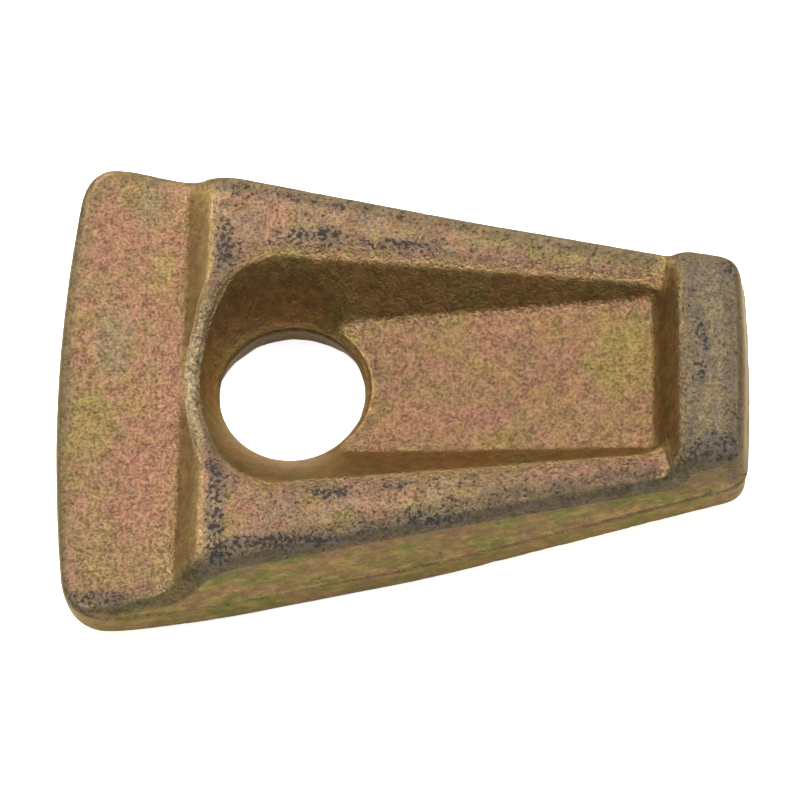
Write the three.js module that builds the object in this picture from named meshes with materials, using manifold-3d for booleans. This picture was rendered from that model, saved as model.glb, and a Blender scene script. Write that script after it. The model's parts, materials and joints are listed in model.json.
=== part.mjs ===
// Bolt-down clamp plate: one solid steel forging with no separate pieces.
//
// The plate is a trapezoid in plan. Its wide end is a low flat pad. Behind a sloping step the
// body rises to two ribs, which run to the narrow end on either side of a long pocket. A bolt
// hole goes through the deep end of the pocket, and a raised heel closes its shallow end.
//
// Millimetres, +X from the wide end to the narrow end, +Z up. The shapes are drawn with the
// bolt hole's axis at X = 0, and the finished body is then moved so that the origin is at the
// middle of the plate's length and width, level with the flat of its underside.

import * as THREE from 'three';
import { mergeVertices } from 'three/addons/utils/BufferGeometryUtils.js';
import Module from 'manifold-3d';

const { degToRad } = THREE.MathUtils;

// Plan at the parting line, with X measured from the bolt hole's axis.
const wideEnd = -33.9;
const narrowEnd = 65.9;
const halfWidthAtHole = 30.5;
const sideTaper = 0.214;
const wideEndBulge = 2.9;
const narrowEndBulge = 0.7;
const wideCorner = 7;
const narrowCorner = 2.5;

// Heights above the flat of the underside.
const partingHeight = 6.5;
const padHeight = 11.4;
const ribHeight = 18;
const heelHeight = 21.6;
const forgingDraft = degToRad(7);

// Where the step and the heel's inner face start and finish along X.
const stepFoot = -16.7;
const stepCrest = -11;
const heelFoot = 54.1;
const heelCrest = 55.5;

// Underside: flat below the hole, curling up to the wide end and bent up into a straight ramp
// towards the narrow end.
const flatStart = -4;
const flatEnd = 12;
const wideCurlRadius = 77;
const narrowBendRadius = 110;
const narrowRamp = degToRad(9);

// Bolt hole: narrowest at its rim, flaring down to the underside, with a coned seat above.
const boreRadius = 10.5;
const boreRimHeight = 7.3;
const flareRadius = 12.1;
const seatTopRadius = 16.8;

// Pocket between the ribs. Its floor climbs from the hole to the heel.
const pocketStart = 12;
const pocketEnd = 52.5;
const pocketFloorAtHole = 8.8;
const pocketFloorSlope = 0.108;
const pocketHalfWidthAtHole = 9.6;
const pocketWidening = 0.03;
const pocketWallAngle = degToRad(47);

// How far the cutting shapes reach past the plate, and how finely curves are divided.
const overrun = 4;
const arcSegments = 14;
const roundSegments = 64;

const wasm = await Module();
wasm.setup();

function toSolid(geometry) {
  const bare = geometry.clone();
  bare.deleteAttribute('normal');
  bare.deleteAttribute('uv');
  const merged = mergeVertices(bare, 1e-4);
  const corners = merged.index.array;
  const triVerts = [];
  for (let i = 0; i < corners.length; i += 3) {
    const [a, b, c] = corners.slice(i, i + 3);
    if (a !== b && b !== c && c !== a) triVerts.push(a, b, c);
  }
  return new wasm.Manifold(new wasm.Mesh({
    numProp: 3,
    vertProperties: new Float32Array(merged.attributes.position.array),
    triVerts: new Uint32Array(triVerts),
  }));
}

function toGeometry(solid) {
  const mesh = solid.getMesh();
  const geometry = new THREE.BufferGeometry();
  geometry.setAttribute('position', new THREE.BufferAttribute(mesh.vertProperties, 3));
  geometry.setIndex(new THREE.BufferAttribute(mesh.triVerts, 1));
  geometry.computeVertexNormals();
  return geometry;
}

function sideAt(x) {
  return halfWidthAtHole - sideTaper * x;
}

function pocketFloorAt(x) {
  return pocketFloorAtHole + pocketFloorSlope * x;
}

// The plate's outline at the parting line: straight sides, bowed ends and rounded corners.
function blankOutline() {
  const wideX = wideEnd + wideEndBulge;
  const narrowX = narrowEnd - narrowEndBulge;
  const wideY = sideAt(wideX);
  const narrowY = sideAt(narrowX);
  const wideTangent = wideX + wideCorner;
  const narrowTangent = narrowX - narrowCorner;
  const outline = new THREE.Shape();
  outline.moveTo(wideTangent, sideAt(wideTangent));
  outline.lineTo(narrowTangent, sideAt(narrowTangent));
  outline.quadraticCurveTo(narrowX, narrowY, narrowX, narrowY - narrowCorner);
  outline.quadraticCurveTo(narrowEnd + narrowEndBulge, 0, narrowX, narrowCorner - narrowY);
  outline.quadraticCurveTo(narrowX, -narrowY, narrowTangent, -sideAt(narrowTangent));
  outline.lineTo(wideTangent, -sideAt(wideTangent));
  outline.quadraticCurveTo(wideX, -wideY, wideX, wideCorner - wideY);
  outline.quadraticCurveTo(wideEnd - wideEndBulge, 0, wideX, wideY - wideCorner);
  outline.quadraticCurveTo(wideX, wideY, wideTangent, sideAt(wideTangent));
  return outline;
}

// The outline as a block, upright below the parting line and drafted inwards above it.
function draftedBlank() {
  const rise = heelHeight + overrun - partingHeight;
  const inset = rise * Math.tan(forgingDraft);
  const geometry = new THREE.ExtrudeGeometry(blankOutline(), {
    depth: partingHeight + overrun,
    bevelThickness: rise,
    bevelSize: inset,
    bevelOffset: -inset,
    bevelSegments: 1,
    curveSegments: arcSegments,
  });
  geometry.translate(0, 0, -overrun);
  return toSolid(geometry);
}

// A shape drawn in X and Z, carried across the whole width of the plate.
function acrossWidth(shape) {
  const width = 2 * (sideAt(wideEnd) + overrun);
  const geometry = new THREE.ExtrudeGeometry(shape, {
    depth: width,
    bevelEnabled: false,
    curveSegments: arcSegments,
  });
  geometry.rotateX(Math.PI / 2);
  geometry.translate(0, width / 2, 0);
  return toSolid(geometry);
}

// The plate seen from the side: bent underside, pad, step, ribs and heel.
function sideProfile() {
  const down = 1.5 * Math.PI;
  const left = wideEnd - overrun;
  const right = narrowEnd + overrun;
  const curl = Math.asin((flatStart - left) / wideCurlRadius);
  const rampStart = flatEnd + narrowBendRadius * Math.sin(narrowRamp);
  const rampFoot = narrowBendRadius * (1 - Math.cos(narrowRamp));
  const profile = new THREE.Shape();
  profile.absarc(flatStart, wideCurlRadius, wideCurlRadius, down - curl, down);
  profile.absarc(flatEnd, narrowBendRadius, narrowBendRadius, down, down + narrowRamp);
  profile.lineTo(right, rampFoot + (right - rampStart) * Math.tan(narrowRamp));
  profile.lineTo(right, heelHeight);
  profile.lineTo(heelCrest, heelHeight);
  profile.lineTo(heelFoot, ribHeight);
  profile.lineTo(stepCrest, ribHeight);
  profile.lineTo(stepFoot, padHeight);
  profile.lineTo(left, padHeight);
  profile.closePath();
  return acrossWidth(profile);
}

// Everything round about the hole's axis: the flared bore, its rim and the coned seat.
function holeCutter() {
  const profile = [
    [0, -overrun],
    [flareRadius, -overrun],
    [flareRadius, 0],
    [boreRadius, boreRimHeight],
    [seatTopRadius, ribHeight],
    [seatTopRadius, ribHeight + overrun],
    [0, ribHeight + overrun],
  ].map(([radius, height]) => new THREE.Vector2(radius, height));
  const geometry = new THREE.LatheGeometry(profile, roundSegments);
  geometry.rotateX(Math.PI / 2);
  return toSolid(geometry);
}

// The long part of the pocket: a sloping floor with walls that lean outwards.
function pocketCutter() {
  const start = pocketHalfWidthAtHole + pocketWidening * pocketStart;
  const end = pocketHalfWidthAtHole + pocketWidening * narrowEnd;
  const floor = new THREE.Shape();
  floor.moveTo(pocketStart, -start);
  floor.lineTo(narrowEnd, -end);
  floor.lineTo(narrowEnd, end);
  floor.lineTo(pocketStart, start);
  floor.closePath();
  const rise = heelHeight;
  const geometry = new THREE.ExtrudeGeometry(floor, {
    depth: overrun,
    bevelThickness: rise,
    bevelSize: rise * Math.tan(pocketWallAngle),
    bevelSegments: 1,
  });
  geometry.translate(0, 0, rise);
  geometry.rotateY(-Math.atan(pocketFloorSlope));
  geometry.translate(0, 0, pocketFloorAtHole);
  return toSolid(geometry).intersect(pocketEndWall());
}

// Everything on the hole's side of the heel's inner face, as it rises from the pocket floor.
function pocketEndWall() {
  const foot = new THREE.Vector2(pocketEnd, pocketFloorAt(pocketEnd));
  const crest = new THREE.Vector2(heelCrest, heelHeight);
  const lean = crest.clone().sub(foot);
  const low = foot.clone().sub(lean);
  const high = crest.clone().add(lean);
  const region = new THREE.Shape();
  region.moveTo(0, low.y);
  region.lineTo(low.x, low.y);
  region.lineTo(high.x, high.y);
  region.lineTo(0, high.y);
  region.closePath();
  return acrossWidth(region);
}

function clampBody() {
  const forging = draftedBlank()
    .intersect(sideProfile())
    .subtract(pocketCutter())
    .subtract(holeCutter());
  const geometry = toGeometry(forging);
  geometry.translate(-(wideEnd + narrowEnd) / 2, 0, 0);
  const steel = new THREE.MeshStandardMaterial({
    name: 'plated_steel',
    color: 0x94794a,
    roughness: 0.5,
    metalness: 0.9,
  });
  const mesh = new THREE.Mesh(geometry, steel);
  mesh.name = 'clamp_body';
  return mesh;
}

const clampPlate = new THREE.Group();
clampPlate.name = 'clamp_plate';
clampPlate.add(clampBody());

export default clampPlate;
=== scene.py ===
"""Looks of a bolt-down clamp plate: one drop forging, yellow zinc plated and lightly worn.

The forging's surface is worked out as a distance field: a few planes, cylinders and cones that
blend into each other as a die rounds them. It is meshed, then made uneven by forging and by small
knocks. Blast grain, films of colour, dark scale, painted shade and painted glints come from the
material.

Shapes are worked out in millimetres with the bolt hole's axis at x = 0, the wide end at negative
x and the flat of the underside at z = 0. The floor, the lights and the camera are in metres.
"""

import json
import math

import bpy
import numpy as np
import openvdb
from mathutils import Matrix, Vector


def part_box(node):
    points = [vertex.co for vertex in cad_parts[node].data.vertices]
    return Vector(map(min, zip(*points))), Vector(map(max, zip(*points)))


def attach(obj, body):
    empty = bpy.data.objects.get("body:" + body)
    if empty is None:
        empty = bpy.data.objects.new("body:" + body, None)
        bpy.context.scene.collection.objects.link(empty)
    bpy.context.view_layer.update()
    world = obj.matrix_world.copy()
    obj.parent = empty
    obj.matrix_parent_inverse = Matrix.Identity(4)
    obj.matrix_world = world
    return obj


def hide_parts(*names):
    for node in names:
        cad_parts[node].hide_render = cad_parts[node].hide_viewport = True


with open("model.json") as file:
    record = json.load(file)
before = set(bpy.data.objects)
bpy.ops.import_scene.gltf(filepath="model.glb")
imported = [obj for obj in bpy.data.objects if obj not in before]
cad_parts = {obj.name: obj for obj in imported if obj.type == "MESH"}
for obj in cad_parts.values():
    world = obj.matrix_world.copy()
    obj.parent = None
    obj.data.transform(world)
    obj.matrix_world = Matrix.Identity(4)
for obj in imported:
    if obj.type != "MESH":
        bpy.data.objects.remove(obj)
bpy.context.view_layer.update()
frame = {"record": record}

MM = 0.001

# What the frame fixes.
LOW, HIGH = [np.array(corner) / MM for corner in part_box("clamp_body")]
MOUNTS = {mount["name"]: np.array(mount["pos_m"]) / MM for mount in frame["record"]["mounts"]}
BOLT_HOLE = next(o for o in frame["record"]["physics"]["openings"] if o["name"] == "bolt_hole")
HOLE_X = (BOLT_HOLE["box_m"][0][0] + BOLT_HOLE["box_m"][1][0]) / 2 / MM
WIDE_END = LOW[0] - HOLE_X
NARROW_END = HIGH[0] - HOLE_X
PAD_HEIGHT = MOUNTS["pad_face"][2]
HEEL_HEIGHT = MOUNTS["heel_face"][2]

# Plan: straight tapering sides and bowed ends, widest at the parting line. The half-width is at
# the hole.
HALF_WIDTH = 30.5
SIDE_TAPER = 0.214
END_RADIUS = 235.0
TOP_DRAFT = math.tan(math.radians(7))
BOTTOM_DRAFT = math.tan(math.radians(1.5))

# Parting line, as a height above the underside, and the ridge of flash left along it.
PARTING = 5.7
FLASH_HEIGHT = 0.14
FLASH_REACH = 0.6

# Underside: flat under the hole, a curl at the wide end, a bend and a ramp at the narrow end.
FLAT_START = -4.0
FLAT_END = 12.0
WIDE_CURL_RADIUS = 77.0
NARROW_BEND_RADIUS = 110.0
NARROW_RAMP = 0.158

# Top: the step and the heel's wall each pass through an x and z and lean back from upright.
RIB_HEIGHT = 18.0
STEP_MIDDLE = (-13.6, 14.7)
STEP_LEAN = math.radians(33)
HEEL_MIDDLE = (54.8, 19.8)
HEEL_LEAN = math.radians(22)

# Bolt hole and its coned seat: radii at the height of the hole's rim, and how much wider the
# hole gets for each millimetre below it.
RIM_HEIGHT = 7.8
BORE_RADIUS = 10.35
BORE_FLARE = 0.24
SEAT_RADIUS = 10.5
SEAT_LEAN = math.radians(29.5)

# Pocket: its floor and half-width are at the hole. The squeeze shortens its round end.
POCKET_FLOOR = 8.8
POCKET_CLIMB = 0.108
POCKET_HALF_WIDTH = 9.6
POCKET_WIDENING = 0.03
POCKET_LEAN = math.radians(47)
POCKET_SQUEEZE = 1.4

# How widely the die rounds each crease, corner and edge.
WIDE_CORNER_ROUNDING = 7.5
NARROW_CORNER_ROUNDING = 2.6
STEP_CREST_ROUNDING = 3.4
STEP_FOOT_ROUNDING = 3.0
HEEL_CREST_ROUNDING = 2.4
HEEL_FOOT_ROUNDING = 1.6
POCKET_FOOT_ROUNDING = 1.2
POCKET_END_ROUNDING = 2.6
SEAT_FOOT_ROUNDING = 0.6
SEAT_EDGE_ROUNDING = 2.0
TOP_EDGE_ROUNDING = 2.9
UNDER_EDGE_ROUNDING = 1.1
POCKET_EDGE_ROUNDING = 1.7
BORE_EDGE_ROUNDING = 1.0

# Unevenness of the forged skin, as cell size and height, and the knocks scattered over it.
UNEVENNESS = ((9.0, 0.045), (3.2, 0.028), (1.3, 0.022))
KNOCK_COUNT = 260
KNOCK_RADII = (0.6, 1.5)
KNOCK_DEPTHS = (0.05, 0.16)

# Round dimple in the heel's top, with the radii of its rim and of its flat middle.
DIMPLE_MIDDLE = (58.3, 8.6)
DIMPLE_RADII = (1.1, 0.5)
DIMPLE_DEPTH = 0.35

# Where the plating is rubbed through or stained: middle x and y, reach along x and y.
RUBBED = (
    (-9.9, 19.0, 1.5, 5.0),
    (-9.6, -22.0, 1.6, 7.0),
    (-8.8, -29.5, 2.4, 2.0),
    (-8.5, -15.5, 3.0, 2.6),
    (3.8, 20.2, 4.5, 1.8),
    (14.0, 18.6, 7.0, 1.3),
    (6.5, -19.3, 3.5, 2.0),
    (15.6, -18.2, 2.8, 1.7),
    (3.0, -27.8, 12.0, 1.2),
    (24.0, -24.4, 9.0, 1.1),
    (60.5, -14.6, 6.0, 2.6),
    (63.5, 14.0, 2.2, 3.0),
    (58.6, 0.5, 1.0, 8.0),
    (-27.0, -33.6, 5.0, 1.2),
)
GREENED = (
    (-28.9, -6.8, 4.0, 5.5),
    (-31.8, -13.0, 2.2, 7.0),
    (-18.9, 18.5, 1.8, 3.6),
    (47.4, 3.0, 6.0, 6.5),
    (40.8, 17.8, 8.0, 2.2),
    (52.0, 16.5, 4.0, 2.2),
    (-1.1, 18.0, 3.6, 1.3),
    (24.0, -16.3, 5.0, 2.4),
    (20.6, -24.0, 5.0, 2.4),
    (9.5, -25.0, 4.0, 1.8),
    (30.5, 20.2, 7.0, 2.0),
)
PINKED = (
    (-17.6, 0.5, 1.8, 6.0),
    (-21.5, -17.0, 4.6, 8.0),
    (-27.3, 25.0, 3.2, 8.0),
    (21.6, -5.5, 9.0, 3.4),
    (-3.6, 23.8, 3.2, 3.0),
    (-5.4, -23.0, 3.2, 2.6),
    (44.4, -16.7, 9.0, 3.0),
)
GREYED = (
    (-25.7, 6.8, 2.6, 6.5),
    (-21.5, 29.8, 1.8, 4.6),
)

# Spacing of the grid that the field is meshed on.
VOXEL = 0.46


def smooth_max(a, b, width):
    """The larger of two fields, with the crease between them rounded over width."""
    overlap = np.maximum(width - np.abs(a - b), 0.0) / width
    return np.maximum(a, b) + overlap * overlap * width * 0.25


def smooth_min(a, b, width):
    return -smooth_max(-a, -b, width)


def smooth_step(value, start, end):
    """Smooth change from 0 to 1 as value goes from start to end."""
    part = np.clip((value - start) / (end - start), 0.0, 1.0)
    return part * part * (3 - 2 * part)


def leaning_plane(run, rise, lean):
    """Distance past a wall that leans back by an angle as it rises."""
    return run * math.cos(lean) - rise * math.sin(lean)


def underside(x):
    """Height of the underside along the plate."""
    to_wide = np.maximum(FLAT_START - x, 0.0)
    to_narrow = np.maximum(x - FLAT_END, 0.0)
    bend = np.minimum(to_narrow, NARROW_RAMP * NARROW_BEND_RADIUS)
    ramp = bend ** 2 / (2 * NARROW_BEND_RADIUS) + (to_narrow - bend) * NARROW_RAMP
    return to_wide ** 2 / (2 * WIDE_CURL_RADIUS) + ramp


def outline_field(x, y, z):
    """The plate's drafted sides and bowed ends, widest at the parting line."""
    above = z - underside(x) - PARTING
    inset = np.where(above > 0, above * TOP_DRAFT, -above * BOTTOM_DRAFT)
    flash = FLASH_HEIGHT * np.exp(-(above / FLASH_REACH) ** 2)
    side = np.abs(y) - HALF_WIDTH + SIDE_TAPER * x + inset - flash
    wide = np.hypot(x - WIDE_END - END_RADIUS, y) - END_RADIUS + inset - flash
    narrow = np.hypot(x - NARROW_END + END_RADIUS, y) - END_RADIUS + inset - flash
    return smooth_max(smooth_max(side, wide, WIDE_CORNER_ROUNDING), narrow, NARROW_CORNER_ROUNDING)


def heel_wall(x, z):
    """Distance past the heel's inner wall, into the heel."""
    return leaning_plane(x - HEEL_MIDDLE[0], z - HEEL_MIDDLE[1], HEEL_LEAN)


def top_field(x, z):
    """Pad, step, rib tops and heel, as the top die leaves them."""
    pad = z - PAD_HEIGHT
    step = -leaning_plane(x - STEP_MIDDLE[0], z - STEP_MIDDLE[1], STEP_LEAN)
    ribs = smooth_max(z - RIB_HEIGHT, step, STEP_CREST_ROUNDING)
    heel = smooth_max(z - HEEL_HEIGHT, -heel_wall(x, z), HEEL_CREST_ROUNDING)
    return smooth_min(smooth_min(pad, ribs, STEP_FOOT_ROUNDING), heel, HEEL_FOOT_ROUNDING)


def pocket_field(x, y, z):
    """The trough between the ribs, joined to the coned seat around the bolt hole."""
    above = z - POCKET_FLOOR - POCKET_CLIMB * x
    from_axis = np.hypot(POCKET_SQUEEZE * np.minimum(x, 0), y)
    half_width = POCKET_HALF_WIDTH + POCKET_WIDENING * np.maximum(x, 0)
    walls = leaning_plane(from_axis - half_width, above, POCKET_LEAN)
    trough = smooth_max(-above, walls, POCKET_FOOT_ROUNDING)
    trough = smooth_max(trough, heel_wall(x, z), POCKET_END_ROUNDING)
    cone = leaning_plane(np.hypot(x, y) - SEAT_RADIUS, z - RIM_HEIGHT, SEAT_LEAN)
    seat = smooth_max(cone, RIM_HEIGHT - z, SEAT_FOOT_ROUNDING)
    return smooth_min(trough, seat, SEAT_EDGE_ROUNDING)


def bore_field(x, y, z):
    """The bolt hole, narrowest at its rim and flaring down to the underside."""
    flare = BORE_FLARE * np.maximum(RIM_HEIGHT - z, 0.0)
    return np.hypot(x, y) - BORE_RADIUS - flare


def forging_field(x, y, z):
    """The whole plate: negative inside it, positive outside."""
    body = smooth_max(outline_field(x, y, z), top_field(x, z), TOP_EDGE_ROUNDING)
    body = smooth_max(body, underside(x) - z, UNDER_EDGE_ROUNDING)
    body = smooth_max(body, -pocket_field(x, y, z), POCKET_EDGE_ROUNDING)
    return smooth_max(body, -bore_field(x, y, z), BORE_EDGE_ROUNDING)


def field_slope(points, step):
    """Value, gradient and curvature of the field at points, from samples a step to each side."""
    here = forging_field(*points.T)
    slope = np.empty_like(points)
    around = np.zeros(len(points))
    for axis in range(3):
        shift = np.zeros(3)
        shift[axis] = step
        ahead = forging_field(*(points + shift).T)
        behind = forging_field(*(points - shift).T)
        slope[:, axis] = (ahead - behind) / (2 * step)
        around += ahead + behind
    return here, slope, (around - 6 * here) / step ** 2


def mesh_forging():
    """Vertices and quads of the smooth forging, with each vertex drawn onto the field's surface."""
    margin = 3 * VOXEL
    low = np.array([WIDE_END, LOW[1], 0.0]) - margin
    high = np.array([NARROW_END, HIGH[1], HIGH[2]]) + margin
    x, y, z = [np.arange(low[i], high[i] + VOXEL, VOXEL) for i in range(3)]
    field = forging_field(x[:, None, None], y[None, :, None], z[None, None, :])
    grid = openvdb.FloatGrid(background=float(field.max()))
    grid.copyFromArray(np.ascontiguousarray(field, dtype=np.float32))
    points, quads = grid.convertToQuads(0.0)
    points = points.astype(float) * VOXEL + low
    # Newton steps along the gradient, held back where it is weak.
    for _ in range(3):
        here, slope, _bend = field_slope(points, 0.1)
        points -= slope * (here / np.maximum((slope ** 2).sum(1), 0.2))[:, None]
    return points, quads


def lattice_noise(points, cell, seed):
    """Smooth random height at points, from a seeded lattice of the given cell size."""
    grid_low = points.min(0) - 2 * cell
    size = np.ceil((points.max(0) - grid_low) / cell).astype(int) + 3
    lattice = np.random.default_rng(seed).normal(size=size)
    place = (points - grid_low) / cell
    base = np.floor(place).astype(int)
    part = smooth_step(place - base, 0, 1)
    total = np.zeros(len(points))
    for corner in np.ndindex(2, 2, 2):
        weight = np.prod(np.where(corner, part, 1 - part), axis=1)
        total += weight * lattice[tuple((base + corner).T)]
    return total


def knocks(points, weight, seed):
    """Depth of small dents, scattered over the vertices in proportion to weight."""
    rng = np.random.default_rng(seed)
    centres = points[rng.choice(len(points), KNOCK_COUNT, p=weight / weight.sum())]
    depth = np.zeros(len(points))
    for centre in centres:
        radius = rng.uniform(*KNOCK_RADII)
        reach = np.linalg.norm(points - centre, axis=1) / radius
        depth += rng.uniform(*KNOCK_DEPTHS) * np.clip(1 - reach ** 2, 0, None) ** 2
    return depth


def spread(x, y, places):
    """How heavily each vertex is covered by a set of soft-edged patches, from 0 to 1."""
    heaviest = np.zeros(len(x))
    for place_x, place_y, reach_x, reach_y in places:
        away = ((x - place_x) / reach_x) ** 2 + ((y - place_y) / reach_y) ** 2
        heaviest = np.maximum(heaviest, smooth_step(away, 1.7, 0.2))
    return heaviest


def surface_masks(points):
    """Normals, and masks from 0 to 1 for the kinds of place that the material tells apart."""
    x, y, z = points.T
    _here, slope, bend = field_slope(points, 0.7)
    _here, _slope, wide_bend = field_slope(points, 1.8)
    normal = slope / np.linalg.norm(slope, axis=1)[:, None]
    up = normal[:, 2]
    outline = outline_field(x, y, z)
    pocket = smooth_step(pocket_field(x, y, z), 0.9, -0.1)
    edge = smooth_step(bend, 0.08, 0.4)

    # Scale shows where the plating is rubbed and, more faintly, on the wide roundings behind the
    # step. The step's own crest is worn bright instead, in the middle of the plate's width.
    past_step = x - STEP_MIDDLE[0]
    behind_step = smooth_step(past_step, 1.1, 2.6)
    exposed = smooth_step(wide_bend, 0.05, 0.22) * behind_step * smooth_step(z, 9.0, 12.0)
    step_crest = smooth_step(past_step, -2.9, -1.2) * smooth_step(past_step, 3.1, 1.6)
    crest_middle = smooth_step(np.abs(y + 1), 15, 4)
    rib_top = smooth_step(z, RIB_HEIGHT - 1.4, RIB_HEIGHT - 0.4)
    rubbed = spread(x, y, RUBBED) * (1 - pocket) * smooth_step(up, 0.15, 0.5)
    masks = {
        "edge": edge,
        "hollow": smooth_step(-bend, 0.1, 0.5),
        "level": smooth_step(up, 0.68, 0.92),
        "flank": smooth_step(outline, -2.4, -0.9),
        "pocket": pocket,
        "bore": smooth_step(bore_field(x, y, z), 0.7, 0.1) * smooth_step(up, 0.6, 0.3),
        "rim": edge * smooth_step(outline, -2.8, -1.0) * smooth_step(z, 8.5, 10.0),
        "brow": smooth_step(outline, -2.2, -0.9) * smooth_step(z, 12.0, 16.5),
        "heel": smooth_step(z, RIB_HEIGHT + 0.6, RIB_HEIGHT + 2.2),
        "rib": rib_top * (1 - pocket) * smooth_step(x, 52, 8),
        "worn": edge * step_crest * crest_middle * (z > PAD_HEIGHT + 0.6),
        "scale": np.maximum(0.45 * exposed, rubbed),
        "green": spread(x, y, GREENED),
        "pink": spread(x, y, PINKED),
        "grey": spread(x, y, GREYED),
    }
    return normal, masks


def roughen(points):
    """Moves the vertices off the smooth die shape and returns the masks for the material."""
    normal, masks = surface_masks(points)
    x, y, z = points.T
    relief = np.zeros(len(points))
    for seed, (cell, height) in enumerate(UNEVENNESS, 1):
        relief += height * lattice_noise(points, cell, seed)
    relief -= knocks(points, masks["edge"] ** 2 + 0.01, 4)
    relief *= 1 - 0.55 * masks["pocket"] * (1 - masks["level"])
    relief *= 1 - 0.6 * masks["flank"]
    from_dimple = np.hypot(x - DIMPLE_MIDDLE[0], y - DIMPLE_MIDDLE[1])
    dimple = DIMPLE_DEPTH * smooth_step(from_dimple, *DIMPLE_RADII)
    relief -= np.where(z > RIB_HEIGHT + 2, dimple, 0)
    return points + normal * relief[:, None], masks


def make_forging():
    points, quads = mesh_forging()
    points, masks = roughen(points)
    points = (points + [HOLE_X, 0, 0]) * MM
    mesh = bpy.data.meshes.new("forging")
    mesh.from_pydata(points.tolist(), [], quads[:, ::-1].tolist())
    mesh.validate()
    mesh.shade_smooth()
    for name, values in masks.items():
        attribute = mesh.attributes.new(name, "FLOAT", "POINT")
        attribute.data.foreach_set("value", values.astype(np.float32))
    mesh.materials.append(plated_steel(masks))
    piece = bpy.data.objects.new("forging", mesh)
    bpy.context.collection.objects.link(piece)
    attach(piece, "root")
    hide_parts("clamp_body")


class Nodes:
    """Short names for the shader nodes that the materials use."""

    def __init__(self, name):
        self.material = bpy.data.materials.new(name)
        self.material.use_nodes = True
        self.tree = self.material.node_tree
        self.shader = self.tree.nodes["Principled BSDF"]
        self.place = self.tree.nodes.new("ShaderNodeTexCoord").outputs["Object"]

    def put(self, socket, value):
        """Links another node's output to the socket, or sets the socket to a plain value."""
        if isinstance(value, bpy.types.NodeSocket):
            self.tree.links.new(value, socket)
        else:
            socket.default_value = value

    def noise(self, size_mm, detail=4, roughness=0.6, distortion=0.0, offset=0.0, drawn=(1, 1)):
        """Fractal noise with features of about the given size, drawn out along x and y."""
        moved = self.tree.nodes.new("ShaderNodeVectorMath")
        moved.operation = "MULTIPLY_ADD"
        self.put(moved.inputs[0], self.place)
        moved.inputs[1].default_value = (1 / drawn[0], 1 / drawn[1], 1)
        moved.inputs[2].default_value = (offset, offset * 0.7, offset * 1.3)
        node = self.tree.nodes.new("ShaderNodeTexNoise")
        self.put(node.inputs["Vector"], moved.outputs[0])
        node.inputs["Scale"].default_value = 1 / (size_mm * MM)
        node.inputs["Detail"].default_value = detail
        node.inputs["Roughness"].default_value = roughness
        node.inputs["Distortion"].default_value = distortion
        return node.outputs["Fac"]

    def attribute(self, name):
        node = self.tree.nodes.new("ShaderNodeAttribute")
        node.attribute_name = name
        return node.outputs["Fac"]

    def math(self, operation, a, b=0.0, c=0.0):
        node = self.tree.nodes.new("ShaderNodeMath")
        node.operation = operation
        for socket, value in zip(node.inputs, (a, b, c)):
            self.put(socket, value)
        return node.outputs[0]

    def times(self, *factors):
        product = factors[0]
        for factor in factors[1:]:
            product = self.math("MULTIPLY", product, factor)
        return product

    def ramp(self, value, low, high, to_low=0.0, to_high=1.0):
        """Smooth change from to_low to to_high as value goes from low to high."""
        node = self.tree.nodes.new("ShaderNodeMapRange")
        node.interpolation_type = "SMOOTHSTEP"
        sockets = ("Value", "From Min", "From Max", "To Min", "To Max")
        for socket, given in zip(sockets, (value, low, high, to_low, to_high)):
            self.put(node.inputs[socket], given)
        return node.outputs["Result"]

    def patches(self, size_mm, start, full, least=0.0, most=1.0, **noise):
        """Noise turned into patches: they rise from least to most as it goes from start to full."""
        return self.ramp(self.noise(size_mm, **noise), start, full, least, most)

    def mix(self, part, a, b, blend="MIX"):
        node = self.tree.nodes.new("ShaderNodeMix")
        node.data_type = "RGBA"
        node.blend_type = blend
        self.put(node.inputs["Factor"], part)
        self.put(node.inputs["A"], a)
        self.put(node.inputs["B"], b)
        return node.outputs["Result"]

    def bump(self, height, depth_mm, below=None):
        """Bends the normal by a height, on top of the bump below."""
        node = self.tree.nodes.new("ShaderNodeBump")
        node.inputs["Strength"].default_value = 1.0
        node.inputs["Distance"].default_value = depth_mm * MM
        self.put(node.inputs["Height"], height)
        if below is not None:
            self.put(node.inputs["Normal"], below)
        return node.outputs["Normal"]


# The plating's films, its worn edges darkened partly as painted shade, painted shade in the bolt
# hole, bare scale, and the metal's tint at a glance.
TAN = (0.275, 0.182, 0.092, 1)
PINK = (0.345, 0.165, 0.118, 1)
OCHRE = (0.31, 0.215, 0.074, 1)
GREEN = (0.265, 0.226, 0.064, 1)
GREY_GREEN = (0.225, 0.205, 0.125, 1)
HEEL_GREY = (0.175, 0.138, 0.102, 1)
HEEL_OCHRE = (0.235, 0.185, 0.098, 1)
RIB_MAUVE = (0.27, 0.20, 0.130, 1)
STEP_GOLD = (0.37, 0.255, 0.100, 1)
FLANK_BROWN = (0.170, 0.105, 0.056, 1)
FLANK_OLIVE = (0.112, 0.114, 0.036, 1)
# Dark olive of the outer edges: partly a dark film, partly painted shade that dims the edges'
# highlight.
EDGE_SHADE_OLIVE = (0.070, 0.058, 0.036, 1)
# Partly the worn edges' own brown, partly painted shade that dims the highlights on the roundings.
EDGE_SHADE_BROWN = (0.150, 0.108, 0.058, 1)
WALL_BROWN = (0.27, 0.142, 0.052, 1)
WALL_OLIVE = (0.225, 0.158, 0.048, 1)
# Painted shade: the bolt hole's wall is painted almost black, as it lies in shade.
BORE_SHADE_BROWN = (0.030, 0.021, 0.009, 1)
WORN_PALE = (0.50, 0.42, 0.26, 1)
SCALE_GREY = (0.115, 0.100, 0.092, 1)
SCALE_BLACK = (0.034, 0.030, 0.031, 1)
METAL_TINT = (0.62, 0.50, 0.36, 1)


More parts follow.
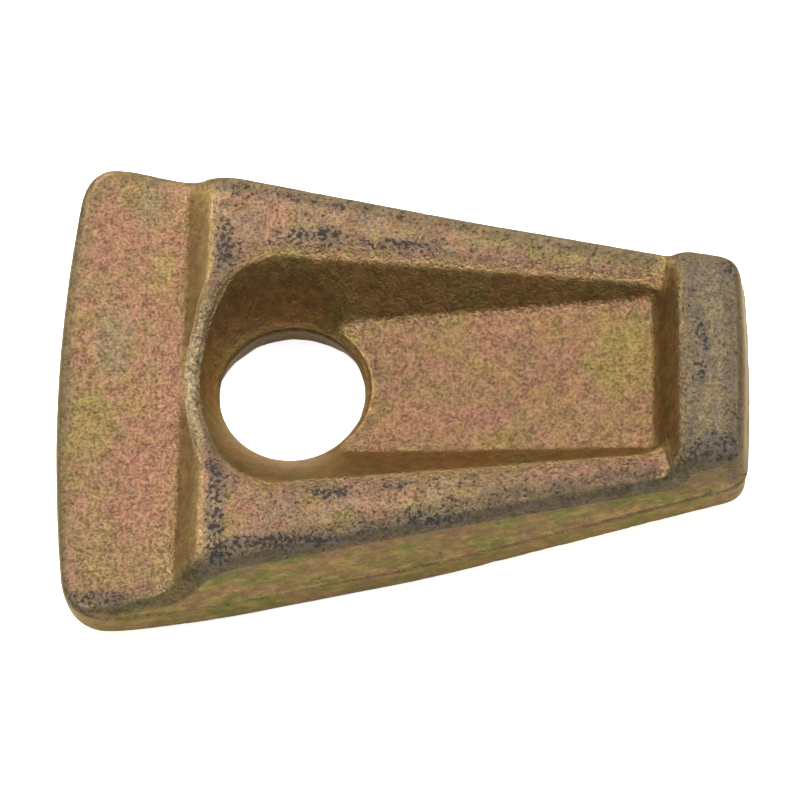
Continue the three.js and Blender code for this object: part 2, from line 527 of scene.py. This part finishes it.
def stained(n, colour, stain, tint, strength, offset):
    """Lays a tint over the stained places, with a broken edge."""
    noise = n.noise(3.0, detail=5, roughness=0.65, distortion=0.3, offset=offset)
    broken = n.math("MULTIPLY_ADD", noise, 4.0, -2.0)
    cover = n.ramp(n.math("ADD", stain, broken), 0.1, 1.1, 0, strength)
    return n.mix(cover, colour, tint)


def top_colour(n, face):
    """The plating's films on the level faces: tan, drifting into pink, ochre, green and grey."""
    tan = n.patches(9.0, 0.40, 0.60, least=0.3, roughness=0.58, distortion=0.4)
    ochre = n.patches(7.0, 0.48, 0.64, most=0.7, distortion=0.5, offset=0.31)
    green = n.patches(5.0, 0.58, 0.68, most=0.5, distortion=0.5, offset=0.57)
    colour = n.mix(green, n.mix(ochre, n.mix(tan, PINK, TAN), OCHRE), GREEN)
    colour = stained(n, colour, face["pink"], PINK, strength=0.7, offset=0.19)
    colour = stained(n, colour, face["green"], GREEN, strength=0.75, offset=0.67)
    colour = stained(n, colour, face["grey"], GREY_GREEN, strength=0.6, offset=0.29)
    speckle = n.mix(n.patches(0.75, 0.40, 0.60, detail=3, offset=0.21), PINK, OCHRE)
    return n.mix(0.28, colour, speckle)


def heel_colour(n):
    """Grey and ochre, streaked across the plate."""
    streaks = n.patches(1.5, 0.38, 0.60, distortion=0.2, offset=0.43, drawn=(1, 4))
    return n.mix(streaks, HEEL_GREY, HEEL_OCHRE)


def flank_colour(n, face):
    """Dull brown and olive, streaked along the plate, darkest just below the ribs and heel: partly
    a dark film, partly painted shade.
    """
    olive = n.patches(3.4, 0.42, 0.60, distortion=0.3, offset=0.83, drawn=(2.5, 1))
    streaks = n.noise(1.6, roughness=0.65, distortion=0.2, offset=0.37, drawn=(2, 1))
    pale = n.ramp(streaks, 0.44, 0.66, 0.0, 0.45)
    colour = n.mix(pale, n.mix(olive, FLANK_BROWN, FLANK_OLIVE), OCHRE)
    # Painted shade along the top of the flank, over a dark film, dimming the highlight on the top
    # edge.
    return n.mix(n.times(face["brow"], 0.55), colour, EDGE_SHADE_OLIVE)


def wall_colour(n):
    """Brown and olive, for the walls of the pocket and of the seat."""
    olive = n.patches(7.0, 0.42, 0.62, distortion=0.5, offset=0.11)
    return n.mix(olive, WALL_BROWN, WALL_OLIVE)


def plating_colour(n, face):
    """The level faces' films, with the other faces' and edges' colours laid over them in turn, and
    painted shade on the slopes, edges, pocket and bolt hole.
    """
    slope = n.math("SUBTRACT", 1.0, face["level"])
    mauve = n.patches(3.5, 0.42, 0.60, most=0.55, distortion=0.4, offset=0.71)
    pitted = n.patches(0.8, 0.40, 0.56, least=0.1, most=0.6, detail=3, offset=0.87)
    layers = (
        (n.times(face["rib"], mauve), RIB_MAUVE),
        (n.times(face["heel"], 0.9), heel_colour(n)),
        (n.times(slope, 0.8), STEP_GOLD),
        (n.times(slope, face["flank"]), flank_colour(n, face)),
        (n.times(slope, face["pocket"], 0.92), wall_colour(n)),
        # Painted shade over the worn edges' brown: darkens the highlight on every rounding.
        (n.times(face["edge"], 0.5), EDGE_SHADE_BROWN),
        # Painted shade on the outer top edges, over their dark film: dims the edges' highlight.
        (n.times(face["rim"], 0.5), EDGE_SHADE_OLIVE),
        (n.times(face["worn"], pitted), WORN_PALE),
        # Painted shade inside the bolt hole.
        (n.times(face["bore"], 0.95), BORE_SHADE_BROWN),
    )
    colour = top_colour(n, face)
    for cover, tint in layers:
        colour = n.mix(cover, colour, tint)
    # Painted shade: the slopes' colour is darkened to three quarters, and the pocket's a little
    # more, where light falls on them more weakly.
    painted_slope_shade = n.times(n.ramp(face["level"], 0, 1, 0.74, 1.0), n.ramp(face["pocket"], 0, 1, 1.0, 0.85))
    return n.mix(1.0, colour, painted_slope_shade, "MULTIPLY")


def plated_steel(masks):
    """Iridescent yellow zinc over a blasted forging, worn to dark scale along its edges."""
    n = Nodes("plated_steel")
    face = {name: n.attribute(name) for name in masks}

    # Blast grain as painted glints and shade, fainter on the slopes, over cloudy light and dark.
    grain = n.noise(0.46, roughness=0.66)
    swing = n.ramp(n.math("MAXIMUM", face["level"], face["edge"]), 0, 1, 0.3, 1.0)
    # Painted glints on the grain's high points and painted shade in its low ones.
    glint = n.ramp(grain, 0.34, 0.66, -0.36, 0.42)
    cloudy = n.patches(1.5, 0.38, 0.62, least=0.84, most=1.16, distortion=0.4, offset=0.77)
    bright = n.math("MULTIPLY_ADD", swing, glint, cloudy)
    colour = n.mix(1.0, plating_colour(n, face), bright, "MULTIPLY")

    # Bare scale: a thin grey film where the plating is rubbed, and black blots crowded into it.
    cluster = n.patches(3.0, 0.30, 0.58, least=0.45, roughness=0.65, distortion=0.3, offset=0.13)
    density = n.times(face["scale"], cluster)
    smears = n.noise(1.3, roughness=0.65, distortion=0.2, offset=0.9, drawn=(1, 1.6))
    film = n.times(density, n.ramp(smears, 0.34, 0.58))
    colour = n.mix(n.times(film, 0.7), colour, SCALE_GREY)
    crowding = n.math("MULTIPLY_ADD", density, 0.18, n.times(face["rib"], 0.055))
    specks = n.noise(0.62, detail=3, roughness=0.55, offset=0.5)
    blots = n.ramp(n.math("ADD", specks, crowding), 0.65, 0.76)
    colour = n.mix(n.times(blots, 0.85), colour, SCALE_BLACK)

    n.put(n.shader.inputs["Base Color"], colour)
    n.put(n.shader.inputs["Metallic"], 0.85)
    n.put(n.shader.inputs["Specular Tint"], METAL_TINT)
    roughness = n.ramp(grain, 0.3, 0.7, 0.34, 0.46)
    n.put(n.shader.inputs["Roughness"], n.math("MULTIPLY_ADD", blots, 0.15, roughness))

    uneven = n.math("MAXIMUM", face["level"], face["hollow"])
    soft = n.noise(1.8, detail=2, roughness=0.5, offset=0.9)
    lumps = n.times(soft, n.ramp(uneven, 0, 1, 0.25, 1.0))
    blast = n.bump(n.times(grain, swing), 0.5, n.bump(lumps, 0.25))
    n.put(n.shader.inputs["Normal"], n.bump(n.times(blots, -1.0), 0.08, blast))
    return n.material


def pale_floor():
    n = Nodes("pale_floor")
    n.put(n.shader.inputs["Base Color"], (0.93, 0.93, 0.92, 1))
    n.put(n.shader.inputs["Roughness"], 0.9)
    n.put(n.shader.inputs["Emission Color"], (1, 1, 1, 1))
    n.put(n.shader.inputs["Emission Strength"], 0.9)
    return n.material


def make_floor():
    mesh = bpy.data.meshes.new("floor")
    reach = 0.45
    corners = [(-reach, -reach, 0), (reach, -reach, 0), (reach, reach, 0), (-reach, reach, 0)]
    mesh.from_pydata(corners, [], [(0, 1, 2, 3)])
    mesh.materials.append(pale_floor())
    floor = bpy.data.objects.new("floor", mesh)
    bpy.context.collection.objects.link(floor)


def make_light(name, size, power, place):
    """A square light, turned to face the middle of the plate."""
    light = bpy.data.lights.new(name, "AREA")
    light.size = size
    light.energy = power
    lamp = bpy.data.objects.new(name, light)
    lamp.location = place
    to_middle = Vector((0, 0, 0)) - Vector(place)
    lamp.rotation_euler = to_middle.to_track_quat("-Z", "Y").to_euler()
    bpy.context.collection.objects.link(lamp)


def light_scene():
    make_light("overhead", size=0.5, power=6.6, place=(0.0, 0.14, 0.5))
    make_light("key", size=0.2, power=1.6, place=(-0.22, 0.26, 0.42))
    world = bpy.data.worlds.new("studio")
    world.use_nodes = True
    background = world.node_tree.nodes["Background"]
    background.inputs["Color"].default_value = (1, 1, 1, 1)
    background.inputs["Strength"].default_value = 0.08
    bpy.context.scene.world = world
    bpy.context.scene.view_settings.view_transform = "Standard"


def place_camera():
    """Looks down on the plate from beyond its near side, slightly towards the heel."""
    tilt, turn, roll = [math.radians(angle) for angle in (25.37, 4.54, -3.96)]
    aim = (0.0, -0.00455, 0.01525)
    distance = 0.598
    facing = Matrix.Rotation(turn, 4, "Z") @ Matrix.Rotation(tilt, 4, "X")
    facing = facing @ Matrix.Rotation(roll, 4, "Z")
    camera = bpy.data.objects.new("camera", bpy.data.cameras.new("camera"))
    camera.matrix_world = Matrix.Translation(aim) @ facing @ Matrix.Translation((0, 0, distance))
    camera.data.lens = 188.6
    bpy.context.collection.objects.link(camera)
    bpy.context.scene.camera = camera


make_forging()
make_floor()
light_scene()
place_camera()
